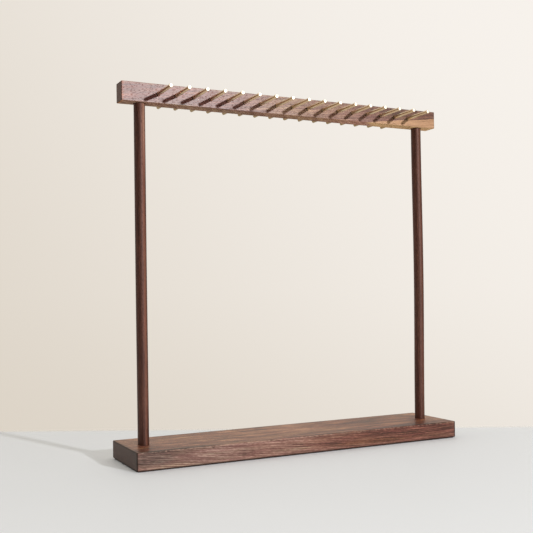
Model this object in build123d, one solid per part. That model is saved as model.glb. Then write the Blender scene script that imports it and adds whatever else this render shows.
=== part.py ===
# Necklace hanger: a walnut base board, two round posts and a crossbar with a row of brass rods
#
# Millimetres. +X runs along the crossbar, +Y points to the back and +Z up. The origin is on the
# ground, under the middle of the stand. The posts are glued into blind sockets at both ends, each
# rod is glued into a hole drilled right through the crossbar and stands out at its front and back.
# The rods rise a little towards the front, so that what hangs on them stays there.

import os

from build123d import *

# Base board
base_length = 400.0
base_width = 85.0
base_thickness = 19.0
base_edge_round = 0.9
base_socket_depth = 10.0

# Posts
post_diameter = 12.0
post_inset = 21.0  # from an end of the base board to the post's centre line
post_end_chamfer = 0.6

# Crossbar
bar_width = 18.0
bar_height = 20.5
bar_overhang = 22.0  # from a post's centre line to the end of the crossbar
bar_edge_round = 0.6
bar_socket_depth = 12.0
clear_height = 360.0  # from the top of the base board to the underside of the crossbar

# Hanging rods
rod_count = 17
rod_diameter = 4.0
rod_length = 98.0
rod_end_chamfer = 0.4
first_rod_from_post = 18.0  # between centre lines
rod_below_middle = 0.7  # from the middle of the crossbar down to the middle of a rod
rod_rise = 0.75  # degrees, with the front end the higher one

# Wood screws that draw the base board up against the posts
screw_length = 32.0
screw_shank_diameter = 4.0
screw_core_diameter = 2.8  # under the thread, in the post
screw_head_diameter = 7.6
screw_head_rim = 0.3  # straight edge round the head
screw_head_below_face = 0.3
screw_point_length = 4.0
screw_pilot_extra_depth = 2.0
cross_slot_width = 1.1
cross_slot_reach = 4.4
cross_slot_depth = 1.6

# Anti-slip sheet under the base board
pad_thickness = 0.8
pad_inset = 0.9  # from the board's edges to the sheet's
pad_corner_round = 3.0

# Clearances, measured on the radius
glue_gap = 0.05
screw_gap = 0.2

# Heights and places that follow
base_bottom = pad_thickness
base_top = base_bottom + base_thickness
bar_bottom = base_top + clear_height
bar_middle = bar_bottom + bar_height / 2
rod_middle = bar_middle - rod_below_middle
post_x = base_length / 2 - post_inset
post_bottom = base_top - base_socket_depth
post_top = bar_bottom + bar_socket_depth
post_length = post_top - post_bottom
bar_length = 2 * (post_x + bar_overhang)
rod_span = 2 * (post_x - first_rod_from_post)
rod_pitch = rod_span / (rod_count - 1)
rod_places = [(number - (rod_count - 1) / 2) * rod_pitch for number in range(rod_count)]
post_places = {"left": -post_x, "right": post_x}
pad_length = base_length - 2 * pad_inset
pad_width = base_width - 2 * pad_inset

# Each screw has a 90 degree countersunk head, and its plain shank ends where the post begins
screw_bottom = base_bottom + screw_head_below_face
screw_cone_depth = (screw_head_diameter - screw_shank_diameter) / 2
screw_cone_top = screw_bottom + screw_head_rim + screw_cone_depth
screw_tip = screw_bottom + screw_length


def rod_along_z(diameter, bottom, top):
    """A round bar standing on end, from one height to another."""
    return Pos(0, 0, bottom) * extrude(Circle(diameter / 2), top - bottom)


def cone_along_z(bottom_diameter, top_diameter, bottom, top):
    """A round taper standing on end, from one height to another."""
    taper = Cone(bottom_diameter / 2, top_diameter / 2, top - bottom)
    return Pos(0, 0, (bottom + top) / 2) * taper


def rod_along_y(diameter, length):
    """A round bar lying from front to back, with its middle at the origin."""
    return Rot(90, 0, 0) * Cylinder(diameter / 2, length)


def rod_place(x):
    """Where a rod goes: across the crossbar, rising to the front."""
    return Pos(x, 0, rod_middle) * Rot(-rod_rise, 0, 0)


def board(length, width, thickness, edge_round):
    """A planed board with every edge eased by hand."""
    blank = Box(length, width, thickness)
    return fillet(blank.edges(), edge_round)


def make_base():
    """The base board, with a socket for each post and a countersunk screw hole under it."""
    body = Pos(0, 0, base_bottom + base_thickness / 2) * board(
        base_length, base_width, base_thickness, base_edge_round
    )
    socket = rod_along_z(post_diameter + 2 * glue_gap, post_bottom, base_top)
    screw_hole = rod_along_z(screw_shank_diameter + 2 * screw_gap, base_bottom, post_bottom)
    head_hole_diameter = screw_head_diameter + 2 * screw_gap
    head_hole_top = screw_bottom + screw_head_rim
    head_hole = rod_along_z(head_hole_diameter, base_bottom, head_hole_top)
    countersink = cone_along_z(
        head_hole_diameter,
        screw_shank_diameter + 2 * screw_gap,
        head_hole_top,
        screw_cone_top,
    )
    for x in post_places.values():
        body -= Pos(x, 0, 0) * (socket + screw_hole + head_hole + countersink)
    return body


def make_post():
    """A round post with chamfered ends and a pilot hole for the screw in its foot."""
    body = rod_along_z(post_diameter, post_bottom, post_top)
    body = chamfer(body.edges().filter_by(GeomType.CIRCLE), post_end_chamfer)
    pilot_diameter = screw_core_diameter + 2 * glue_gap
    pilot = rod_along_z(pilot_diameter, post_bottom, screw_tip + screw_pilot_extra_depth)
    return body - pilot


def make_crossbar():
    """The crossbar, with a blind socket over each post and a hole right through for each rod."""
    body = Pos(0, 0, bar_middle) * board(bar_length, bar_width, bar_height, bar_edge_round)
    socket = rod_along_z(post_diameter + 2 * glue_gap, bar_bottom, post_top)
    for x in post_places.values():
        body -= Pos(x, 0, 0) * socket
    rod_hole = rod_along_y(rod_diameter + 2 * glue_gap, bar_width + 2 * rod_diameter)
    for x in rod_places:
        body -= rod_place(x) * rod_hole
    return body


def make_rod():
    """A brass rod with a small chamfer at each end."""
    body = rod_along_y(rod_diameter, rod_length)
    return chamfer(body.edges().filter_by(GeomType.CIRCLE), rod_end_chamfer)


def make_screw():
    """A countersunk wood screw: head, shank, core in the post, point and cross recess."""
    rim = rod_along_z(screw_head_diameter, screw_bottom, screw_bottom + screw_head_rim)
    head = cone_along_z(
        screw_head_diameter, screw_shank_diameter, screw_bottom + screw_head_rim, screw_cone_top
    )
    shank = rod_along_z(screw_shank_diameter, screw_cone_top, post_bottom)
    core_top = screw_tip - screw_point_length
    core = rod_along_z(screw_core_diameter, post_bottom, core_top)
    point = cone_along_z(screw_core_diameter, 0, core_top, screw_tip)
    body = rim + head + shank + core + point
    slot = Box(cross_slot_reach, cross_slot_width, cross_slot_depth)
    cross = slot + Rot(0, 0, 90) * slot
    return body - Pos(0, 0, screw_bottom + cross_slot_depth / 2) * cross


def make_pad():
    """A thin foam rubber sheet, glued flat under the whole board."""
    return extrude(RectangleRounded(pad_length, pad_width, pad_corner_round), pad_thickness)


parts = {"base": make_base(), "crossbar": make_crossbar(), "base_pad": make_pad()}

post = make_post()
screw = make_screw()
for side, x in post_places.items():
    parts[f"post_{side}"] = Pos(x, 0, 0) * post
    parts[f"post_screw_{side}"] = Pos(x, 0, 0) * screw

rod = make_rod()
for number, x in enumerate(rod_places, start=1):
    parts[f"hanging_rod_{number:02d}"] = rod_place(x) * rod

os.makedirs("parts", exist_ok=True)
for name, solid in parts.items():
    export_step(solid, f"parts/{name}.step")

print(f"posts {post_length:g} long, crossbar {bar_length:g} long, rods {rod_pitch:.3f} apart")
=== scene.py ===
# %% [markdown]
# A stand of walnut and brass. A base board carries two round posts, the posts carry a nearly square
# crossbar, and seventeen brass rods go through the crossbar. The construction was drawn elsewhere at its
# real size, and it comes in here as a frame of named nodes, which this script measures and never moves. What
# is made here is the finish: pieces with worn edges and drilled holes, wood with rings and pores, and the
# light to see them.

# %% Load the frame
import math
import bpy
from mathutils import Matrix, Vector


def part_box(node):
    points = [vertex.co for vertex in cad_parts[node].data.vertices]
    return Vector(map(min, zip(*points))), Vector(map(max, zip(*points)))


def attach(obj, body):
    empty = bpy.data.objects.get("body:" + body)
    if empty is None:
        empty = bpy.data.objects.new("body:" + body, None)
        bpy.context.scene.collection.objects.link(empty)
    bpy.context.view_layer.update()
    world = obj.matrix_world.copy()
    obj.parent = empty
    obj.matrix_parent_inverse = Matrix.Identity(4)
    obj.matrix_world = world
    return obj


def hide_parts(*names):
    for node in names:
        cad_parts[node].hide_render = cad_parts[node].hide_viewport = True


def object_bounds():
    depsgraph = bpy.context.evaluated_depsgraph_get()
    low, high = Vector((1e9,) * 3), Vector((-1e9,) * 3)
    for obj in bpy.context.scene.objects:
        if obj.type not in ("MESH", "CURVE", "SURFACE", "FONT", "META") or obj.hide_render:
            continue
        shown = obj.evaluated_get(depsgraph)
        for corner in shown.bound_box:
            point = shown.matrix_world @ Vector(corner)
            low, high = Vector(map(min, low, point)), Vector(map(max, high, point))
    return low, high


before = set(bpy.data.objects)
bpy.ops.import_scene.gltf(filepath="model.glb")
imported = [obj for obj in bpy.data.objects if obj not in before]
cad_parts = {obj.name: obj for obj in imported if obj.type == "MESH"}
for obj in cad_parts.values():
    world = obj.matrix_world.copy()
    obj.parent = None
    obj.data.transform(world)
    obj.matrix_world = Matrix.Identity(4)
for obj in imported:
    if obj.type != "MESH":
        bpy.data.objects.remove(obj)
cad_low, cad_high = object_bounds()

from types import SimpleNamespace

import bmesh
import bpy
from mathutils import Euler, Matrix, Vector, noise

MM = 0.001
print(f"{len(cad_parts)} nodes, {[round(side / MM, 1) for side in cad_high - cad_low]} mm over all")

# %% [markdown]
# The camera comes first, because every later choice is judged through it. It could be placed by eye, but a
# camera is fixed by its place, the way it points and its lens, so these are measured values. It stands to
# the left of the stand, a little lower than half its height, and looks level. The upright posts stay
# parallel in the picture, as with a lens that is shifted up a little instead of tilted.

# %% Camera
camera_place = Vector((-0.4602, -0.8578, 0.1791))
camera_turned_right = math.radians(26.55)
camera_tilted_up = math.radians(0.31)
camera_rolled = math.radians(-0.77)
camera_sensor = 36.0
camera_lens = 57.16
camera_shifted_up = 0.0389
camera_sees_from = 0.01

camera = bpy.data.objects.new("camera", bpy.data.cameras.new("camera"))
bpy.context.scene.collection.objects.link(camera)
camera.data.sensor_width = camera_sensor
camera.data.lens = camera_lens
camera.data.shift_y = camera_shifted_up
camera.data.clip_start = camera_sees_from
aim = Euler((math.pi / 2 + camera_tilted_up, 0.0, -camera_turned_right)).to_matrix()
aim = aim @ Matrix.Rotation(camera_rolled, 3, "Z")
camera.matrix_world = Matrix.Translation(camera_place) @ aim.to_4x4()
bpy.context.scene.camera = camera
bpy.context.scene.view_settings.view_transform = "Standard"
print(f"camera {camera_place.length:.2f} m from the origin, {camera_lens} mm lens")

# %% [markdown]
# A finish is a small sum of textures. Node trees are slow to read, so the sums are written as sums: a Wire
# is one output of a node, and adding, scaling or subtracting wires adds the nodes that do it. Math nodes
# only hold single values, so vectors go to Vector Math, and colours to Mix.

# %% A wire that takes part in sums
class Wire:
    """One output of a node. A sum of wires and numbers adds the nodes that work it out."""

    def __init__(self, finish, socket):
        self.finish = finish
        self.socket = socket

    def __add__(self, other):
        return self.finish.sum("ADD", self, other)

    def __radd__(self, other):
        return self.finish.sum("ADD", other, self)

    def __sub__(self, other):
        return self.finish.sum("SUBTRACT", self, other)

    def __rsub__(self, other):
        return self.finish.sum("SUBTRACT", other, self)

    def __mul__(self, other):
        return self.finish.sum("MULTIPLY", self, other)

    def __rmul__(self, other):
        return self.finish.sum("MULTIPLY", other, self)

    def part(self, axis):
        """The X, Y or Z of a vector."""
        return self.finish.node("SeparateXYZ", {}, {"Vector": self}, axis)

    def as_share(self):
        """A value from -1 to 1, as a share from 0 to 1."""
        return self * 0.5 + 0.5


# %% [markdown]
# Colours are written as on a paint card, in six hex digits. Those digits are made for screens, and shaders
# reckon in linear light, so each colour is converted once, when it is named.

# %% Paint
def paint(code):
    """A colour written as six hex digits, in linear light."""
    levels = [int(code[place : place + 2], 16) / 255 for place in (0, 2, 4)]
    linear = [((level + 0.055) / 1.055) ** 2.4 if level > 0.04 else level / 12.92 for level in levels]
    return (*linear, 1.0)


print(f"mid grey is {paint('808080')[0]:.3f} in linear light")

# %% [markdown]
# The nodes of a finish are added one after the other, from the place on the piece to the surface itself. One
# method adds any node. The others are short names for what nearly every finish needs: a smooth step, noise
# drawn out to a given size, the way a face looks, and a mix of two colours.

# %% A finish under construction
class Finish:
    """A material or a world whose nodes are added one after the other."""

    def __init__(self, owner):
        owner.use_nodes = True
        self.owner = owner
        self.tree = owner.node_tree
        self.tree.nodes.clear()

    def node(self, kind, settings, inputs, output=0):
        """Adds a node: its settings first, then the value or wire of each input. Gives one output."""
        made = self.tree.nodes.new("ShaderNode" + kind)
        for name, value in settings.items():
            if name == "stops":
                ramp = made.color_ramp
                while len(ramp.elements) < len(value):
                    ramp.elements.new(0.5)
                for stop, (place, colour) in zip(ramp.elements, value):
                    stop.position = place
                    stop.color = colour
            else:
                setattr(made, name, value)
        for key, value in inputs.items():
            if isinstance(key, str):
                socket = next(one for one in made.inputs if one.name == key and one.enabled)
            else:
                socket = made.inputs[key]
            if isinstance(value, Wire):
                self.tree.links.new(value.socket, socket)
            else:
                socket.default_value = value
        if isinstance(output, str):
            return Wire(self, made.outputs[output])
        return Wire(self, [one for one in made.outputs if one.enabled][output]) if made.outputs else made

    def sum(self, operation, first, second):
        """Math on values, Vector Math where a vector takes part, and Mix where a colour does."""
        kinds = {one.socket.type for one in (first, second) if isinstance(one, Wire)}
        if "RGBA" in kinds:
            settings = {"data_type": "RGBA", "blend_type": operation}
            return self.node("Mix", settings, {"Factor": 1.0, "A": first, "B": second})
        if "VECTOR" in kinds:
            return self.node("VectorMath", {"operation": operation}, {0: first, 1: second})
        return self.maths(operation, first, second)

    def maths(self, operation, first, second=0.0):
        """A Math node, also for what no operator stands for, such as FRACT or MAXIMUM."""
        return self.node("Math", {"operation": operation}, {0: first, 1: second})

    def length(self, vector):
        """How long a vector is."""
        return self.node("VectorMath", {"operation": "LENGTH"}, {0: vector}, "Value")

    def vector(self, x, y, z):
        """Three values as one vector."""
        return self.node("CombineXYZ", {}, {0: x, 1: y, 2: z})

    def mix(self, share, first, second):
        """From the first colour to the second as the share goes from 0 to 1."""
        return self.node("Mix", {"data_type": "RGBA"}, {"Factor": share, "A": first, "B": second})

    def ramp(self, level, places, codes):
        """A colour that goes through these paints as the level goes through these places."""
        stops = list(zip(places, map(paint, codes)))
        return self.node("ValToRGB", {"stops": stops}, {"Fac": level}, "Color")

    def step(self, value, start, end, low=0.0, high=1.0):
        """A smooth step from low to high as the value goes from start to end."""
        settings = {"interpolation_type": "SMOOTHSTEP"}
        inputs = {"Value": value, "From Min": start, "From Max": end, "To Min": low, "To Max": high}
        return self.node("MapRange", settings, inputs)

    def noise(self, place, lump, seed, detail=2.0, roughness=0.5):
        """Smooth noise from about -1 to 1, whose lumps have the given size along each axis of the place."""
        spread = place * tuple(1.0 / side for side in lump) + (seed, seed * 1.7, seed * 2.3)
        inputs = {"Vector": spread, "Scale": 1.0, "Detail": detail, "Roughness": roughness}
        return self.node("TexNoise", {}, inputs) * 2.0 - 1.0

    def chance(self, value, seed):
        """A random number from 0 to 1 for each whole number."""
        return self.node("TexWhiteNoise", {"noise_dimensions": "1D"}, {"W": value + seed}, "Value")

    def cells(self, place, scale=1.0):
        """The distance from the middle of the nearest cell, for pores and bubbles."""
        return self.node("TexVoronoi", {"feature": "F1"}, {"Vector": place, "Scale": scale}, "Distance")

    def place(self):
        """The place on the piece, in millimetres of the stand's frame."""
        return self.node("TexCoord", {}, {}, "Object") * (1 / MM, 1 / MM, 1 / MM)

    def facing(self, axis):
        """How far the face looks along an axis, from -1 to 1."""
        return self.node("NewGeometry", {}, {}, "Normal").part(axis)

    def done(self, surface):
        """Puts the surface on the material, and gives the material."""
        self.node("OutputMaterial", {}, {"Surface": surface})
        print(f"{self.owner.name}: {len(self.tree.nodes)} nodes")
        return self.owner


# %% [markdown]
# The key light is one small lamp in front and to the right, low enough to throw each rod's shadow down and
# to the left on the crossbar. A sun lamp could do it. A disk as wide as a real lamp, at a real distance,
# gives shadows that are crisp at each rod's root and soften towards its tip, and it is easier to picture.

# %% Key lamp
key_turned_right = math.radians(15.8)
key_raised = math.radians(14.5)
key_distance = 2.54
key_size = 0.127
key_power = 49.6
key_colour = (1.0, 0.965, 0.955)

key_way = Vector(
    (
        math.sin(key_turned_right) * math.cos(key_raised),
        -math.cos(key_turned_right) * math.cos(key_raised),
        math.sin(key_raised),
    )
)
key = bpy.data.objects.new("key_lamp", bpy.data.lights.new("key_lamp", "AREA"))
bpy.context.scene.collection.objects.link(key)
key.data.shape = "DISK"
key.data.size = key_size
key.data.energy = key_power
key.data.color = key_colour
key.location = (cad_low + cad_high) / 2 + key_way * key_distance
key.rotation_euler = key_way.to_track_quat("Z", "Y").to_euler()
print(f"key lamp {key_size / MM:.0f} mm across at {key_distance} m")

# %% [markdown]
# The pale room is the fill. A room that is equally bright on all sides makes dark wood look grey, so this
# one is brightest overhead, less bright behind the stand, and nearly dark on the camera's side, where its
# light would fill the rods' shadows. The camera itself sees a plain cream backdrop, a little brighter to the
# right, which a Light Path node keeps apart from the light that the room gives.

# %% Room and backdrop
room_colour = paint("efe6da")
room_before = 0.05
room_behind = 0.85
room_above = 1.45
front_to_back = (-0.6, 0.8)
overhead = (0.45, 1.0)
backdrop_left = paint("dcd3c6")
backdrop_right = paint("f8f3ed")
backdrop_fades = (-0.1, 0.7)
brighter_to_right = 0.7
brighter_upward = 0.5
darker_below = 0.4

world = bpy.data.worlds.new("room")
bpy.context.scene.world = world
room = Finish(world)
way = room.node("TexCoord", {}, {}, "Generated")
across = way.part("X")
back = way.part("Y")
above = way.part("Z")
around = room.step(back, *front_to_back, room_before, room_behind)
light = around + room.step(above, *overhead) * (room_above - around)
fill = room.node("Background", {}, {"Color": room_colour, "Strength": light})
below = room.maths("MINIMUM", above, 0.0)
brighter = across * brighter_to_right + above * brighter_upward + below * darker_below
seen_colour = room.mix(room.step(brighter, *backdrop_fades), backdrop_left, backdrop_right)
backdrop = room.node("Background", {}, {"Color": seen_colour, "Strength": 1.0})
seen = room.node("LightPath", {}, {}, "Is Camera Ray")
room.node("OutputWorld", {}, {"Surface": room.node("MixShader", {}, {0: seen, 1: fill, 2: backdrop})})
print(f"room {room_before} before the stand, {room_behind} behind it and {room_above} overhead")

# %% [markdown]
# The stand is on a pale matt table that ends about a hand's width behind the middle of the board. The table
# is one sheet, and a mask that grows with the distance from the front mixes its paint with a see-through
# shader, so the far edge is a soft line with only the backdrop beyond it.

# %% Table
table_ends = 1.103
table_end_turned = math.radians(1.5)
table_end_blur = 0.012
table_half_side = 1.0
table_roughness = 0.6
table_cloud = (0.3, 0.3, 0.3)
table_pale = paint("dee5ec")
table_deep = paint("dbe2e9")
table_right_half = (0.0, 0.5)
table_painted_light_right = 1.035


def table_paint():
    """Matt paint as far as the table's end, which is measured from the camera's place."""
    top = Finish(bpy.data.materials.new("table_top"))
    place = top.node("TexCoord", {}, {}, "Object")
    turned_right = camera_turned_right + table_end_turned
    away = (place.part("X") - camera_place.x) * math.sin(turned_right)
    away = away + (place.part("Y") - camera_place.y) * math.cos(turned_right)
    gone = top.step(away, table_ends - table_end_blur, table_ends + table_end_blur)
    colour = top.mix(top.noise(place, table_cloud, 4.0).as_share(), table_pale, table_deep)
    # Painted light: the paint is a little paler on the right, where the table is more brightly lit.
    colour = colour * top.step(place.part("X"), *table_right_half, 1.0, table_painted_light_right)
    painted = top.node("BsdfPrincipled", {}, {"Base Color": colour, "Roughness": table_roughness})
    clear = top.node("BsdfTransparent", {}, {})
    return top.done(top.node("MixShader", {}, {0: gone, 1: painted, 2: clear}))


four_corners = ((-1, -1), (1, -1), (1, 1), (-1, 1))
table_corners = [(x * table_half_side, y * table_half_side, 0.0) for x, y in four_corners]
table_mesh = bpy.data.meshes.new("table")
table_mesh.from_pydata(table_corners, [], [(0, 1, 2, 3)])
table_mesh.materials.append(table_paint())
table = bpy.data.objects.new("table", table_mesh)
bpy.context.scene.collection.objects.link(table)

# %% [markdown]
# Walnut is the main finish. An image of planks would show a seam where two faces meet. Here the tree itself
# is described in three dimensions and the piece is cut from it, so each face shows its own cut of the same
# log, and the end grain comes for nothing. The first step is to find where a point lay in its log: how far
# along the grain, and at what radius from the pith, which runs somewhere beside the board. No tree is a true
# cylinder, so slow noise bends the rings and quick noise ripples them.

# %% A cut from a log
grain_order = {"X": (0, 1, 2), "Z": (2, 0, 1)}
bend_size = (170.0, 40.0, 40.0)
ripple_size = (22.0, 4.0, 4.0)
ripple_height = 0.55


def cut_from_log(wood, grain, pith, lean, drift, seed):
    """Where each point lay in its log, in mm. The grain runs along X or Z, and the pith is the tree's middle.
    Lean is how far the pith moves across and up with each mm of length, and how much its way up bends."""
    here = wood.place()
    along, across, up = [here.part(axis) for axis in grain_order[grain]]
    place = wood.vector(along, across, up)
    bend = wood.noise(place, bend_size, seed) * drift
    ripple = wood.noise(place, ripple_size, seed + 3.1) * ripple_height
    side = across - along * lean[0]
    height = up - along * (along * lean[2] + lean[1])
    radius = wood.length(wood.vector(side - pith[0], height - pith[1], 0.0)) + bend + ripple
    return SimpleNamespace(here=here, place=place, straight=wood.vector(along, side, height), radius=radius)


# %% [markdown]
# Walnut shows its marks at every size: broad clouds of colour, a figure as wide as a finger, streaks and
# flecks half a millimetre wide, fibres, and open pores like short scratches. Each ring has a tone to itself
# and ends in a dark line of late wood. Every mark is noise drawn out along the grain, given by its length,
# width and height in millimetres. One noise with many octaves would be shorter, but its marks couldn't be
# set one by one.

# %% Marks of the grain
ring_gap = 1.6
late_wood_grows = (0.30, 0.93)
late_wood_ends = (1.0, 0.93)
pore_size = (4.5, 0.42, 0.42)
pore_walls = (0.30, 0.12)
early_wood = (0.9, 0.2)
fewer_pores = 0.45


def grain_marks(wood, cut, seed):
    """The marks at each point. Pores and late wood go from 0 to 1, the others from about -1 to 1."""
    ring = cut.radius * (1 / ring_gap)
    through = wood.maths("FRACT", ring)
    pore_place = cut.place * tuple(1 / side for side in pore_size) + (seed, seed, seed)
    more_in_early_wood = wood.step(through, *early_wood, fewer_pores, 1.0)
    return SimpleNamespace(
        own_tone=wood.chance(wood.maths("FLOOR", ring), seed) - 0.5,
        late_wood=wood.step(through, *late_wood_grows) * wood.step(through, *late_wood_ends),
        pores=wood.step(wood.cells(pore_place), *pore_walls) * more_in_early_wood,
        broad=wood.noise(cut.place, (150.0, 13.0, 13.0), seed + 5.3),
        hue=wood.noise(cut.place, (60.0, 7.0, 5.0), seed + 17.9, 3.0, 0.6),
        fibres=wood.noise(cut.place, (14.0, 0.3, 0.3), seed + 9.1, 2.0, 0.6),
        figure=wood.noise(cut.straight, (45.0, 4.0, 9.0), seed + 19.3),
        streaks=wood.noise(cut.straight, (38.0, 0.5, 0.5), seed + 7.7, 3.0, 0.62),
        flecks=wood.noise(cut.straight, (5.0, 0.5, 0.5), seed + 12.0, 2.0, 0.6),
    )


def weighed(start, marks, weights):
    """A starting value, and each mark's weight times the mark."""
    for mark, weight in weights.items():
        start = start + getattr(marks, mark) * weight
    return start


# %% [markdown]
# No board is the same from end to end: the heart of the tree is darker, a knot leaves a fleck, a planed face
# catches a paler layer. Such places are called patches here. A patch has a middle, a size, how much paler
# the wood is there, and a tint. Its outline is made ragged with the grain's own marks, so that it never
# shows as a spot of paint. Painting the whole board by hand would give the same, but not on all six faces at
# once.

# %% Patches
# Some patches paint light instead of wood: sheen, shade, highlights and reflections. Each list says which.
plain = (1.0, 1.0, 1.0)
untinted = (1.0, 1.0, 1.0, 1.0)
patch_fades = (1.25, 0.35)
ragged_by = {"broad": 0.3, "streaks": 0.15}


def patched(wood, cut, marks, level, patches):
    """The level with each patch's share added, and each patch's tint as a colour."""
    ragged = weighed(0.0, marks, ragged_by)
    tints = []
    for middle, size, paler, tint in patches:
        apart = wood.length((cut.here - middle) * tuple(1 / side for side in size))
        share = wood.step(apart + ragged, *patch_fades)
        level = level + share * paler
        tints.append(wood.mix(share, untinted, (*tint, 1.0)))
    return level, tints


# %% [markdown]
# Hands and cloths reach the edges of a board first. The long upper edges are rubbed pale here and there, and
# the wood just behind them is darker. The other edges are darker too, the lowest most: dust, and painted
# shade at the lower edges. A point on a board's face is 0 mm from one pair of faces, so the middle one of its
# three distances tells how far the nearest edge is. Blender's own Pointiness would find edges too, but only
# where the mesh is dense enough.

# %% Worn edges
upper_edge = (2.4, 1.2)
away_from_ends = (1.0, 3.0)
upright_face = (0.45, 0.85)
rubbed_paint = paint("b59684")
rubbed_edge = (2.4, 1.3)
rub_size = (3.0, 2.0, 2.0)
rubs_vary_by = {"broad": 0.4}
here_and_there = (-0.25, 0.45)
rub_strength = 0.5
darker_strip_edge = (5.0, 2.5)
darker_strip_strength = 0.42
dust_and_shade_edge = (1.7, 0.5)
less_dust_and_shade_above = 0.75


def from_sides(wood, here, low, high):
    """How far each point is inside a box, along X, Y and Z."""
    inside = []
    for axis in range(3):
        half = (high[axis] - low[axis]) / 2
        inside.append(half - wood.maths("ABSOLUTE", here.part(axis) - (high[axis] + low[axis]) / 2))
    return inside


def worn(wood, colour, cut, marks, seed, box, grime_and_shade):
    """The colour with the marks of use, and painted shade at the lower edges, along the edges of a board that
    fills the box. Each kind of edge is a pair of distances in mm: where its mark starts and where it is
    whole."""
    low, high = box
    x, y, z = from_sides(wood, cut.here, low, high)
    lower_of_two = wood.maths("MINIMUM", wood.maths("MAXIMUM", x, y), z)
    from_edge = wood.maths("MAXIMUM", wood.maths("MINIMUM", x, y), lower_of_two)
    height = cut.here.part(2)
    upper = wood.step(high.z - height, *upper_edge) * wood.step(x, *away_from_ends)
    upright = wood.step(wood.maths("ABSOLUTE", wood.facing(1)), *upright_face)
    rubs = weighed(wood.noise(cut.place, rub_size, seed + 15.0), marks, rubs_vary_by)
    rubbed = wood.step(from_edge, *rubbed_edge) * wood.step(rubs, *here_and_there) * upper * upright
    colour = wood.mix(rubbed * rub_strength, colour, rubbed_paint)
    # A strip just behind the upper edges is made darker.
    darker_strip = wood.step(from_edge, *darker_strip_edge) * upper * (1.0 - upright)
    colour = colour * (1.0 - darker_strip * darker_strip_strength)
    # Dust and painted shade darken the other edges, the lowest most.
    dust = wood.step(height, high.z, low.z, less_dust_and_shade_above * grime_and_shade, grime_and_shade)
    return colour * (1.0 - wood.step(from_edge, *dust_and_shade_edge) * (1.0 - upper) * dust)


# %% [markdown]
# The marks now add up to one level, from the darkest brown to the palest. Walnut wavers between a redder and
# a more olive brown, so the level goes through two ramps, and a slow noise chooses between them. The
# sapwood, the youngest wood outside a certain radius, has a pale ramp of its own. End grain drinks more oil
# and looks darker. What faces up is tinted golden as painted light. An underside that was never oiled stays
# dull, and its colour is made paler as painted light from the table below.

# %% Walnut
level_at_rest = 0.555
paler_by = {
    "broad": 0.14,
    "figure": 0.10,
    "own_tone": 0.12,
    "late_wood": -0.14,
    "streaks": 0.96,
    "flecks": 0.50,
    "fibres": 0.24,
    "pores": -0.20,
}
top_paler_by = {"figure": 0.85, "broad": 0.16}
rougher_by = {"pores": 0.16, "streaks": 0.05}
deeper_by = {"pores": -1.0, "fibres": 0.12, "late_wood": 0.12}
tone_places = (0.0, 0.5, 1.0)
hue_varies_by = {"streaks": 0.35}
red_to_olive = (-0.5, 0.6)
sapwood_places = (0.0, 0.9)
sapwood_tone = ("86603f", "cba07b")
sapwood_varies_by = {"streaks": 0.4}
sapwood_starts = (-0.5, 0.7)
sapwood_paler = 0.12
looks_up = (0.3, 0.8)
looks_down = (-0.3, -0.8)
looks_along = (0.12, 0.6)
top_painted_light = (1.05, 0.88, 0.65, 1.0)
end_tint = (0.285, 0.26, 0.225, 1.0)
underside_painted_light = (1.30, 1.42, 1.30, 1.0)
dry_sheen = 0.1
dry_roughness = 0.8
end_rougher = 0.14
relief_strength = 0.7
relief_depth = 0.1 * MM


def walnut(name, log, seed, tone, gloss, drift=5.0, olive=0.0, patches=(), sapwood=None, box=None, grime_and_shade=0.8):
    """Oiled walnut. The log is its grain's axis, its pith and its lean. The tone is a redder and a more olive
    run of browns, and gloss is the strength, tint and roughness of the sheen. Beyond the sapwood radius the
    wood is pale. A box has worn edges, and the last argument is how dark dust and painted shade make them at
    most."""
    wood = Finish(bpy.data.materials.new(name))
    grain, pith, lean = log
    cut = cut_from_log(wood, grain, pith, lean, drift, seed)
    marks = grain_marks(wood, cut, seed)
    upward = wood.step(wood.facing(2), *looks_up)
    under = wood.step(wood.facing(2), *looks_down)
    end = wood.step(wood.maths("ABSOLUTE", wood.facing("XYZ".index(grain))), *looks_along)

    level = weighed(level_at_rest, marks, paler_by) + upward * weighed(0.0, marks, top_paler_by)
    level, tints = patched(wood, cut, marks, level, patches)
    red, brown = [wood.ramp(level, tone_places, codes) for codes in tone]
    hue = weighed(marks.hue, marks, hue_varies_by) + olive
    colour = wood.mix(wood.step(hue, *red_to_olive), red, brown)
    for tint in tints:
        colour = colour * tint
    if sapwood:
        young = wood.step(weighed(cut.radius - sapwood, marks, sapwood_varies_by), *sapwood_starts)
        colour = wood.mix(young, colour, wood.ramp(level + sapwood_paler, sapwood_places, sapwood_tone))
    colour = colour * wood.mix(end, untinted, end_tint)
    # Painted light: what faces up is tinted golden.
    colour = colour * wood.mix(upward, untinted, top_painted_light)
    if box:
        colour = worn(wood, colour, cut, marks, seed, box, grime_and_shade)

    sheen, sheen_tint, softness = gloss
    relief = weighed(0.0, marks, deeper_by)
    normal = wood.node("Bump", {}, {"Strength": relief_strength, "Distance": relief_depth, "Height": relief})
    roughness = weighed(softness, marks, rougher_by) + end * end_rougher
    inputs = {"Base Color": colour, "Roughness": roughness, "Normal": normal}
    inputs.update({"Specular IOR Level": sheen, "Specular Tint": sheen_tint})
    oiled = wood.node("BsdfPrincipled", {}, inputs)
    # Painted light: the dull underside's colour is made paler, as if lit from the table below.
    inputs = {"Base Color": colour * underside_painted_light, "Roughness": dry_roughness, "Normal": normal}
    dry = wood.node("BsdfPrincipled", {}, {**inputs, "Specular IOR Level": dry_sheen})
    return wood.done(wood.node("MixShader", {}, {0: under, 1: oiled, 2: dry}))


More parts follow.
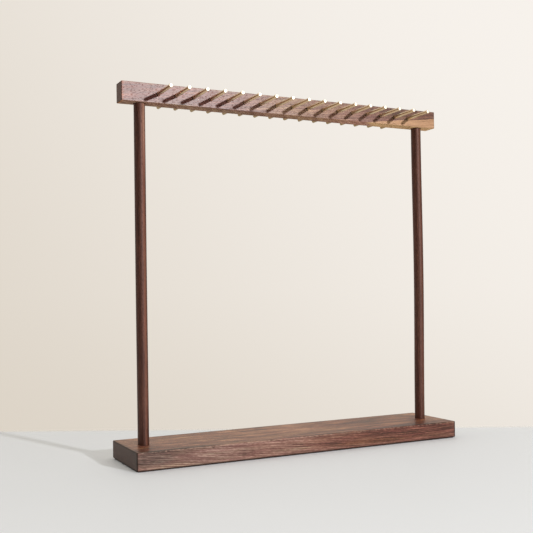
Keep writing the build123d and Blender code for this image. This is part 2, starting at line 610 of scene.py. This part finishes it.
# %% [markdown]
# The base board and the crossbar come from the heart of one tree. On the base the dark heart lies at the
# right of the front and the grain bends slowly. The crossbar was cut near the bark: at its right-hand end
# the pith leans so far that its lower half leaves the heartwood, and the pale sapwood shows as a wedge.

# %% Wood of the base board and the crossbar
def measured(node):
    """The lowest and highest corner of a node, in millimetres."""
    low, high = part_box(node)
    return low / MM, high / MM


heartwood = (("361b16", "7d524a", "bf9a89"), ("32241b", "795c4a", "b79f87"))
board_gloss = (0.40, (1.0, 0.93, 0.84, 1.0), 0.39)
bar_gloss = (0.45, (1.0, 1.0, 1.0, 1.0), 0.375)
base_patches = [
    # The front: dark heart, a left part greyed by painted sheen, a pale band over, a golden one under the
    # middle
    ((140.0, -44.0, 12.0), (98.0, 22.0, 16.0), -0.33, (1.17, 0.93, 0.83)),
    ((40.0, -43.0, 13.0), (60.0, 9.0, 14.0), -0.13, (1.06, 0.97, 0.88)),
    ((-130.0, -42.0, 12.0), (70.0, 9.0, 16.0), 0.00, (0.95, 1.04, 1.08)),
    ((-186.0, -42.0, 12.0), (24.0, 9.0, 10.0), -0.10, (0.90, 1.08, 1.12)),
    ((-112.0, -42.5, 15.0), (34.0, 9.0, 8.0), 0.09, plain),
    ((118.0, -43.0, 18.0), (38.0, 9.0, 4.5), 0.15, (1.04, 1.0, 1.0)),
    ((-166.0, -42.0, 3.0), (34.0, 9.0, 2.4), 0.14, (1.0, 1.0, 0.95)),
    ((85.0, -42.0, 6.5), (60.0, 9.0, 3.0), 0.06, (1.0, 1.03, 0.82)),
    ((142.0, -42.0, 9.0), (12.0, 9.0, 4.0), -0.02, (1.0, 0.96, 0.96)),
    # Two small knots, and the dark right-hand corner
    ((-117.0, -42.5, 17.6), (1.8, 4.0, 0.9), -0.35, (0.9, 0.9, 0.9)),
    ((-82.0, -42.0, 7.0), (3.0, 5.0, 6.0), -0.14, plain),
    ((200.0, -42.5, 10.0), (2.4, 6.0, 14.0), -0.40, (0.75, 0.72, 0.72)),
    # The top: darker along the front edge and to the right, pale at the right-hand end
    ((0.0, -42.5, 22.0), (240.0, 14.0, 6.0), -0.12, (1.0, 0.98, 1.04)),
    # The next two are a painted reflection of the left post in the top; the first is also darker wood
    ((-160.0, -40.0, 22.0), (52.0, 22.0, 7.0), -0.22, (1.0, 0.97, 1.0)),
    ((-185.0, -27.0, 21.0), (24.0, 26.0, 5.0), -0.17, (1.0, 0.96, 0.95)),
    ((120.0, 0.0, 21.0), (100.0, 60.0, 5.0), -0.22, (1.06, 0.96, 0.87)),
    ((192.0, -6.0, 20.0), (14.0, 30.0, 6.0), 0.18, (0.93, 1.0, 1.02)),
    # The left end
    ((-200.0, 0.0, 10.0), (3.0, 90.0, 40.0), 0.0, (0.88, 0.82, 0.81)),
]
bar_patches = [
    # The dark wedge over the sapwood, the pinker left part, and the golden middle, a painted reflection of
    # the brass
    ((160.0, -4.0, 396.0), (90.0, 30.0, 14.0), -0.25, (1.15, 1.15, 0.88)),
    ((-150.0, -10.0, 390.0), (100.0, 30.0, 20.0), -0.06, (1.01, 0.82, 0.86)),
    ((20.0, -10.0, 390.0), (80.0, 30.0, 20.0), 0.10, (1.06, 1.08, 0.88)),
    # The left end, and three parts of the underside made paler as painted light from the table below
    ((-201.0, 0.0, 390.0), (3.0, 60.0, 60.0), 0.0, (1.38, 1.17, 0.88)),
    ((-140.0, 0.0, 379.0), (90.0, 30.0, 2.4), 0.06, (1.06, 1.28, 1.14)),
    ((90.0, 0.0, 379.0), (45.0, 30.0, 2.4), 0.07, (1.15, 1.02, 1.04)),
    ((194.0, 0.0, 379.0), (14.0, 30.0, 1.6), 0.20, (1.20, 1.40, 1.60)),
]
base_log = ("X", (28.0, 82.0), (0.0, -0.055, 0.00018))
bar_log = ("X", (6.0, 453.7), (0.0, 0.118, 0.0))
base_walnut = walnut(
    "base_walnut", base_log, 1.0, heartwood, board_gloss,
    olive=-0.15, patches=base_patches, box=measured("base"),
)
bar_walnut = walnut(
    "bar_walnut", bar_log, 21.0, heartwood, bar_gloss,
    drift=2.0, olive=-0.3, patches=bar_patches, sapwood=87.0, box=measured("crossbar"), grime_and_shade=0.15,
)

# %% [markdown]
# The posts are turned from darker wood, with the grain upright. Each has a painted highlight down its front,
# a pale line where the lamp's sheen lies. The left one also has painted shade down its left side, and a
# brighter painted highlight for a short way under the crossbar. A patch that is much longer than the post
# makes such a line. Its place is given from the post's lowest corner in X and Y.

# %% Wood of the posts
post_tone = (("180906", "3c1d15", "6a3f31"), ("180b06", "3a2016", "654331"))
post_gloss = (0.70, (1.0, 0.62, 0.54, 1.0), 0.52)
post_lean = (0.004, 0.001, 0.0)
# Painted light on the posts: a pale highlight line down each front, shade down the left post's left side, and
# a brighter highlight under the crossbar.
post_painted_light = {
    "left": [
        ((8.2, 0.0, 200.0), (2.0, 2.2, 900.0), 0.38, (1.25, 1.32, 1.38)),
        ((0.0, 6.0, 200.0), (7.0, 9.0, 900.0), -0.12, plain),
        ((9.8, 0.0, 362.0), (2.4, 3.0, 56.0), 0.30, (2.0, 2.5, 3.0)),
    ],
    "right": [((8.2, 0.0, 200.0), (2.0, 2.2, 900.0), 0.24, plain)],
}
post_walnut = {}
for side, pith, seed in (("left", (-150.0, -40.0), 31.0), ("right", (215.0, -30.0), 41.0)):
    low, high = measured(f"post_{side}")
    patches = [((low.x + x, low.y + y, z), *others) for (x, y, z), *others in post_painted_light[side]]
    log = ("Z", pith, post_lean)
    post_walnut[side] = walnut(f"{side}_post_walnut", log, seed, post_tone, post_gloss, patches=patches)

# %% [markdown]
# The rods are drawn brass. Drawing leaves fine lines along them, so the roughness has noise with lumps 30 mm
# long and a tenth of a millimetre wide. Painted shade turns the backs behind the crossbar brown, painted
# light makes the rod paler over the part nearest the crossbar, and both ends were faced off, which leaves a
# bare, paler metal. One material does for all the rods, because its masks follow the place from front to back
# and the way a face looks.

# %% Brass
brass_pale = paint("dcc6a4")
brass_deep = paint("ccb08c")
# The next two colours are painted shade behind the crossbar and painted light on the part nearest it.
brass_painted_shade = paint("a08a66")
brass_painted_light = paint("e8eacc")
brass_faced = paint("e9e0ce")
painted_shade_starts = (6.0, 12.0)
painted_light_starts = (-34.0, -13.0)
behind_the_bar = (6.0, -6.0)
faced_end = (0.70, 0.95)
painted_light_share = 0.9
drawn_size = (0.12, 30.0, 0.12)
brass_cloud = (6.0, 9.0, 6.0)
brass_roughness = 0.30
lines_rougher = 0.04
clouds_rougher = 0.05
faced_rougher = 0.20


def brass():
    """Satin brass, for rods that lie along Y."""
    metal = Finish(bpy.data.materials.new("satin_brass"))
    place = metal.place()
    from_front = place.part("Y")
    drawn = metal.noise(place, drawn_size, 2.0, 1.0)
    cloud = metal.noise(place, brass_cloud, 5.0)
    # Painted shade: the backs behind the crossbar turn brown.
    shaded_back = metal.step(from_front, *painted_shade_starts)
    # Painted light: the rod is paler over the part nearest the crossbar.
    painted_light_near_bar = metal.step(from_front, *painted_light_starts) * metal.step(from_front, *behind_the_bar)
    faced = metal.step(metal.maths("ABSOLUTE", metal.facing("Y")), *faced_end)
    colour = metal.mix(cloud.as_share(), brass_pale, brass_deep)
    colour = metal.mix(shaded_back, colour, brass_painted_shade)
    colour = metal.mix(painted_light_near_bar * painted_light_share, colour, brass_painted_light)
    colour = metal.mix(faced, colour, brass_faced)
    roughness = brass_roughness + drawn * lines_rougher + cloud * clouds_rougher + faced * faced_rougher
    inputs = {"Base Color": colour, "Metallic": 1.0, "Roughness": roughness}
    return metal.done(metal.node("BsdfPrincipled", {}, inputs))


rod_brass = brass()

# %% [markdown]
# The sheet under the board is foam rubber: matt, nearly black, a little dusty, and pitted where the knife
# went through its bubbles. Real holes would take a very dense mesh for something seen as a dark line, so the
# pits are cells that darken the colour and dent the normal.

# %% Foam rubber
# The near black also stands for painted shade under the board's lower edge.
rubber_and_shade_black = paint("1b1412")
rubber_dusty = paint("35261f")
bubble_scale = 2.6
bubble_walls = (0.42, 0.12)
pit_darker = 0.5
pit_strength = 0.8
pit_depth = 0.15 * MM
dust_size = (7.0, 7.0, 7.0)
rubber_roughness = 0.85
dust_rougher = 0.06


def foam_rubber():
    """Dusty black rubber with a pitted skin, whose near black also stands for painted shade."""
    pad = Finish(bpy.data.materials.new("foam_rubber"))
    place = pad.place()
    pits = pad.step(pad.cells(place, bubble_scale), *bubble_walls)
    dust = pad.noise(place, dust_size, 6.0, 4.0)
    colour = pad.mix(dust.as_share(), rubber_and_shade_black, rubber_dusty) * (1.0 - pits * pit_darker)
    normal = pad.node("Bump", {}, {"Strength": pit_strength, "Distance": pit_depth, "Height": pits * -1.0})
    roughness = rubber_roughness + dust * dust_rougher
    inputs = {"Base Color": colour, "Roughness": roughness, "Normal": normal}
    return pad.done(pad.node("BsdfPrincipled", {}, inputs))


pad_rubber = foam_rubber()

# %% [markdown]
# The screws are plated with zinc, which settles in small cloudy crystals. A plain grey metal would look like
# cast iron, so noise about a millimetre wide shifts both its colour and its roughness.

# %% Zinc plate
zinc_pale = paint("c4c5c6")
zinc_dull = paint("9da09f")
crystal_size = (0.9, 0.9, 0.9)
zinc_roughness = 0.34
crystals_rougher = 0.08


def zinc():
    """Steel with a cloudy plating of zinc."""
    steel = Finish(bpy.data.materials.new("zinc_plate"))
    crystals = steel.noise(steel.place(), crystal_size, 8.0, 4.0)
    colour = steel.mix(crystals.as_share(), zinc_pale, zinc_dull)
    roughness = zinc_roughness + crystals * crystals_rougher
    inputs = {"Base Color": colour, "Metallic": 1.0, "Roughness": roughness}
    return steel.done(steel.node("BsdfPrincipled", {}, inputs))


screw_steel = zinc()

# %% [markdown]
# The pieces come next, all worked out in millimetres in the stand's frame. Posts, rods, screws and drills
# are round, so one function turns an outline round an axis, as a lathe does. Blender's Screw modifier could
# turn it too, but here each ring of points can also be moved off the axis, which gives a post its slight
# bow.

# %% Turning
round_steps = 4
quarter_turn = [math.pi / 2 * step / round_steps for step in range(round_steps + 1)]


def turned(outline, sides, axis, middle, bow=None):
    """Turns pairs of radius and place along the axis. The outline starts and ends on the axis."""
    shape = bmesh.new()
    rings = []
    for radius, place in outline:
        count = sides if radius > 0 else 1
        ring = []
        for number in range(count):
            angle = 2 * math.pi * (number + 0.5) / sides
            spread = (radius * math.cos(angle), radius * math.sin(angle))
            if axis == "Z":
                point = Vector((spread[0], spread[1], place))
            else:
                point = Vector((spread[0], place, spread[1]))
            if bow:
                point += bow(place)
            ring.append(shape.verts.new(middle + point))
        rings.append(ring)
    for ring, after in zip(rings, rings[1:]):
        for number in range(sides):
            corners = [ring[number % len(ring)], ring[(number + 1) % len(ring)]]
            corners += [after[(number + 1) % len(after)], after[number % len(after)]]
            shape.faces.new(list(dict.fromkeys(corners)))
    bmesh.ops.recalc_face_normals(shape, faces=shape.faces)
    return shape


def rounded(radius, place, corner, rises):
    """The quarter round that joins a flat end at this place to a side of this radius."""
    outline = []
    for turn in quarter_turn:
        inward = corner - corner * math.sin(turn)
        outline.append((radius - inward, place + rises * corner * (1 - math.cos(turn))))
    return outline if rises > 0 else outline[::-1]


# %% [markdown]
# Wood that was sawn, planed and then sanded by hand has no perfect edge: the round of each edge wanders, and
# a few knocks have widened it. A Bevel modifier gives every edge the same round. So a board is built as a
# row of sections, each with its own four corner radii, and closed by a quarter round at both ends.

# %% Easing a board's edges
section_step = 2.0
wander_length = 21.0
knock_length = 4.3
knock_rarity = 0.42
knock_depth = 1.1
smallest_round = 0.05
edges_apart = 5.3
knocks_apart = 9.1
first_knock = 3.0


def stitched(shape, rings):
    """Joins rings of as many points into a closed skin, with a flat face over both ends."""
    for ring, after in zip(rings, rings[1:]):
        for number in range(len(ring)):
            beside = (number + 1) % len(ring)
            shape.faces.new((ring[number], ring[beside], after[beside], after[number]))
    shape.faces.new(rings[0][::-1])
    shape.faces.new(rings[-1])


def eased_board(low, high, edge, end_edge, wander, seed):
    """A board from one corner to another with hand-eased edges."""
    middle = (low + high) / 2
    half = (high - low) / 2
    end_round = [(end_edge * (1 - math.cos(turn)), end_edge * (1 - math.sin(turn))) for turn in quarter_turn]
    straight = high.x - low.x - 2 * end_edge
    count = round(straight / section_step)
    sections = [(low.x + inward, inset) for inward, inset in end_round]
    sections += [(low.x + end_edge + straight * number / count, 0.0) for number in range(1, count)]
    sections += [(high.x - inward, inset) for inward, inset in reversed(end_round)]
    shape = bmesh.new()
    rings = []
    for x, inset in sections:
        ring = []
        for corner, (side, up) in enumerate(four_corners):
            slow = noise.noise((x / wander_length, corner * edges_apart, seed))
            knock = noise.noise((x / knock_length, corner * knocks_apart + first_knock, seed))
            knock = max(0.0, knock - knock_rarity)
            own = max(edge * (1 + wander * slow) + knock_depth * knock - inset, smallest_round)
            centre_y = side * (half.y - inset - own)
            centre_z = up * (half.z - inset - own)
            start = math.atan2(up, side) - math.pi / 4
            for turn in quarter_turn:
                y = centre_y + own * math.cos(start + turn)
                z = centre_z + own * math.sin(start + turn)
                ring.append(shape.verts.new((x, middle.y + y, middle.z + z)))
        rings.append(ring)
    stitched(shape, rings)
    bmesh.ops.recalc_face_normals(shape, faces=shape.faces)
    return shape


# %% [markdown]
# A piece stands for one node of the frame and rides on its body. Its holes are cut with one Boolean, by all
# its drills joined into one mesh, which is quicker than one cut after the other, and the result is kept as a
# plain mesh. Then its round parts are shaded smooth, its corners stay sharp, and weighted normals keep the
# flats flat.

# %% Making a piece
corner_stays_sharp = math.radians(35)


def mesh_object(name, shape):
    """An object with this shape, turned from millimetres to metres."""
    bmesh.ops.scale(shape, vec=(MM, MM, MM), verts=shape.verts)
    mesh = bpy.data.meshes.new(name)
    shape.to_mesh(mesh)
    shape.free()
    made = bpy.data.objects.new(name, mesh)
    bpy.context.scene.collection.objects.link(made)
    return made


def drill_out(made, cutters):
    """Cuts all the cutters out of an object."""
    joined = bmesh.new()
    for cutter in cutters:
        loose = bpy.data.meshes.new("cutter")
        cutter.to_mesh(loose)
        joined.from_mesh(loose)
        bpy.data.meshes.remove(loose)
        cutter.free()
    drill = mesh_object("drill", joined)
    cut = made.modifiers.new("holes", "BOOLEAN")
    cut.operation = "DIFFERENCE"
    cut.solver = "EXACT"
    cut.object = drill
    bpy.context.view_layer.update()
    drilled = made.evaluated_get(bpy.context.evaluated_depsgraph_get())
    with_holes = bpy.data.meshes.new_from_object(drilled)
    made.modifiers.clear()
    made.data = with_holes
    bpy.data.objects.remove(drill)


def piece(name, shape, node, finish, cutters=()):
    """Makes the piece that stands for a node: cuts its holes, smooths it and gives it its finish."""
    made = mesh_object(name, shape)
    if cutters:
        drill_out(made, cutters)
    made.data.shade_smooth()
    made.data.set_sharp_from_angle(angle=corner_stays_sharp)
    made.modifiers.new("flat_faces", "WEIGHTED_NORMAL").keep_sharp = True
    made.data.materials.clear()
    made.data.materials.append(finish)
    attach(made, "root")
    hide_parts(node)
    print(f"{name}: {len(made.data.polygons)} faces")
    return made


# %% [markdown]
# The drills come before the pieces, because a hole belongs to two of them. The wood round a drilled hole is
# never quite square: the drill lifts a few fibres, and sanding takes them off. So each drill is turned with
# a flare where it comes out of the wood. A hole is wider than its peg by the thickness of the glue.

# %% Drills
glue_gap = 0.05
rim_flare = 0.25
drill_past = 1.0
drill_sides = 64


def middle_of(low, high):
    """The middle of a box, with its height left at 0."""
    return Vector(((low.x + high.x) / 2, (low.y + high.y) / 2, 0.0))


def round_hole(axis, middle, radius, start, end, flares, bow=None):
    """A cutter for a drilled hole. Where it comes out of the wood its rim is flared a little."""
    wide = radius + rim_flare + drill_past
    if "start" in flares:
        outline = [(0.0, start - drill_past), (wide, start - drill_past), (radius, start + rim_flare)]
    else:
        outline = [(0.0, start), (radius, start)]
    if "end" in flares:
        outline += [(radius, end - rim_flare), (wide, end + drill_past), (0.0, end + drill_past)]
    else:
        outline += [(radius, end), (0.0, end)]
    return turned(outline, drill_sides, axis, middle, bow)


bar_low, bar_high = measured("crossbar")
base_low, base_high = measured("base")
base_cutters = []
bar_cutters = []
print(f"{bar_high.y - bar_low.y:.1f} mm of wood to drill for each rod, {2 * glue_gap} mm wider than the rod")

# %% [markdown]
# A post stands in a socket in the base board and carries another on its upper end. A screw comes up into its
# foot from below, so the post has a pilot hole, and the board a sunk hole for the screw's head. Turned wood
# moves as it dries: the right-hand post has bowed by more than a millimetre. It bows only between the two
# sockets, and a squared sine lets it leave both of them straight up.

# %% Posts
post_sides = 64
post_end_round = 0.6
post_bow = {"left": -0.2, "right": 1.4}
bow_steps = 40
clear_height = bar_low.z - base_high.z
screw_sides = 48
screw_gap = 0.2
shank_radius = 2.0
core_radius = 1.4
screw_head_rim = 0.3
pilot_past_tip = 2.0
pilot_point = 0.8
hole_overlap = 0.5


def bow_of(side):
    """How far a post stands out of line at each height."""
    def bow(height):
        share = min(max((height - base_high.z) / clear_height, 0.0), 1.0)
        return Vector((post_bow[side] * math.sin(math.pi * share) ** 2, 0.0, 0.0))

    return bow


def sunk_hole(middle, head, screw_bottom, top):
    """A cutter for a screw's hole through the base board, with room for the cone of its head."""
    wide = head + screw_gap
    narrow = shank_radius + screw_gap
    start = base_low.z - drill_past
    rim = screw_bottom + screw_head_rim
    outline = [(0.0, start), (wide, start), (wide, rim), (narrow, rim + wide - narrow)]
    outline += [(narrow, top + hole_overlap), (0.0, top + hole_overlap)]
    return turned(outline, screw_sides, "Z", middle)


for side in ("left", "right"):
    low, high = measured(f"post_{side}")
    screw_low, screw_high = measured(f"post_screw_{side}")
    middle = middle_of(low, high)
    radius = (high.x - low.x) / 2
    head = (screw_high.x - screw_low.x) / 2
    base_cutters.append(round_hole("Z", middle, radius + glue_gap, low.z, base_high.z, ("end",)))
    bar_cutters.append(round_hole("Z", middle, radius + glue_gap, bar_low.z, high.z, ("start",)))
    base_cutters.append(sunk_hole(middle, head, screw_low.z, low.z))
    bore = core_radius + glue_gap
    bore_top = screw_high.z + pilot_past_tip
    outline = [(0.0, bore_top), (bore, bore_top - pilot_point), (bore, low.z)]
    outline += rounded(radius, low.z, post_end_round, 1)
    outline += [(radius, base_high.z + clear_height * step / bow_steps) for step in range(bow_steps + 1)]
    outline += rounded(radius, high.z, post_end_round, -1)
    outline += [(0.0, high.z)]
    post = turned(outline, post_sides, "Z", middle, bow_of(side))
    piece(f"walnut_post_{side}", post, f"post_{side}", post_walnut[side])

# %% [markdown]
# The rods were cut from drawn bar and their ends faced off, with a small round that takes the burr away.
# They rise a little towards the front, so each is turned level and its rings are then shifted up or down.
# Its slope isn't typed in: the height of the node's box, less the rod's own thickness, gives it.

# %% Rods
rod_sides = 40
rod_end_round = 0.35
rod_nodes = sorted(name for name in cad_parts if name.startswith("hanging_rod"))


def rise_of(slope):
    """How far a sloping rod is off the level at each place from front to back."""
    def rise(place):
        return Vector((0.0, 0.0, -place * slope))

    return rise


for node in rod_nodes:
    low, high = measured(node)
    middle = Vector(((low.x + high.x) / 2, 0.0, (low.z + high.z) / 2))
    radius = (high.x - low.x) / 2
    rise = rise_of((high.z - low.z - 2 * radius) / (high.y - low.y))
    hole = round_hole("Y", middle, radius + glue_gap, bar_low.y, bar_high.y, ("start", "end"), rise)
    bar_cutters.append(hole)
    outline = [(0.0, low.y)] + rounded(radius, low.y, rod_end_round, 1)
    outline += rounded(radius, high.y, rod_end_round, -1) + [(0.0, high.y)]
    rod = turned(outline, rod_sides, "Y", middle, rise)
    piece(f"brass_rod_{node[-2:]}", rod, node, rod_brass)

# %% [markdown]
# The base board and the crossbar are the two eased boards. The base is handled most and has the rounder
# edges. The crossbar keeps crisper ones, because the rods' holes leave little wood to sand.

# %% Base board and crossbar
base_shape = eased_board(base_low, base_high, edge=0.9, end_edge=1.3, wander=0.3, seed=2.0)
bar_shape = eased_board(bar_low, bar_high, edge=0.6, end_edge=0.7, wander=0.3, seed=7.0)
piece("walnut_base", base_shape, "base", base_walnut, base_cutters)
piece("walnut_crossbar", bar_shape, "crossbar", bar_walnut, bar_cutters)

# %% [markdown]
# The two screws under the board are turned too. The cross in a screw's head is pressed with a tapered punch,
# so it is cut here with a plus sign whose far end is smaller than its near end. A thread would be lost in
# the wood.

# %% Wood screws
screw_point = 4.0
cross_reach = 2.3
cross_half_width = 0.6
cross_depth = 1.6
cross_taper = 0.6
punch_below = 0.2


def cross_punch(middle, start, end):
    """A plus sign in plan, drawn from one height to another and tapering on the way."""
    reach, width = cross_reach, cross_half_width
    plan = [Vector(corner) for corner in ((reach, width), (width, width), (width, reach))]
    for quarter in range(3):
        plan += [Vector((-corner.y, corner.x)) for corner in plan[-3:]]
    shape = bmesh.new()
    levels = []
    for height, size in ((start, 1.0), (end, cross_taper)):
        levels.append([shape.verts.new((middle.x + p.x * size, middle.y + p.y * size, height)) for p in plan])
    stitched(shape, levels)
    bmesh.ops.recalc_face_normals(shape, faces=shape.faces)
    return shape


for side in ("left", "right"):
    node = f"post_screw_{side}"
    low, high = measured(node)
    foot = measured(f"post_{side}")[0].z
    middle = middle_of(low, high)
    head = (high.x - low.x) / 2
    rim = low.z + screw_head_rim
    outline = [(0.0, low.z), (head, low.z), (head, rim), (shank_radius, rim + head - shank_radius)]
    outline += [(shank_radius, foot), (core_radius, foot), (core_radius, high.z - screw_point), (0.0, high.z)]
    screw = turned(outline, screw_sides, "Z", middle)
    punch = cross_punch(middle, low.z - punch_below, low.z + cross_depth)
    piece(f"steel_screw_{side}", screw, node, screw_steel, [punch])

# %% [markdown]
# A thin black sheet of foam rubber keeps the board from sliding and from scratching the table. From the side
# it shows as no more than a dark line, which also stands for painted shade under the board. A box would do,
# but a sheet that was cut by hand wavers, so its outline is walked in short steps, each one pushed inward a
# little by slow noise.

# %% Anti-slip sheet
sheet_corner = 3.0
cut_step = 4.0
waver = 0.12
waver_length = 9.0
waver_seed = 4.0
slanted_cut = 0.08


def cut_sheet(low, high):
    """A flat sheet with round corners, whose edge wavers as a knife does."""
    outline = []
    for side, up in four_corners:
        start = math.atan2(up, side) - math.pi / 4
        middle = Vector((side, up)) * ((high - low).xy / 2 - Vector((sheet_corner, sheet_corner)))
        for turn in quarter_turn:
            outline.append(middle + sheet_corner * Vector((math.cos(start + turn), math.sin(start + turn))))
    shape = bmesh.new()
    lower = []
    upper = []
    for here, after in zip(outline, outline[1:] + outline[:1]):
        count = max(1, round((after - here).length / cut_step))
        for number in range(count):
            point = here.lerp(after, number / count)
            spot = (point.x / waver_length, point.y / waver_length, waver_seed)
            inward = waver + waver * noise.noise(spot)
            for level, height, off in ((lower, low.z, inward + slanted_cut), (upper, high.z, inward)):
                inside = point - point.normalized() * off
                level.append(shape.verts.new((inside.x, inside.y, height)))
    stitched(shape, [lower, upper])
    return shape


pad_low, pad_high = measured("base_pad")
piece("rubber_sheet", cut_sheet(pad_low, pad_high), "base_pad", pad_rubber)
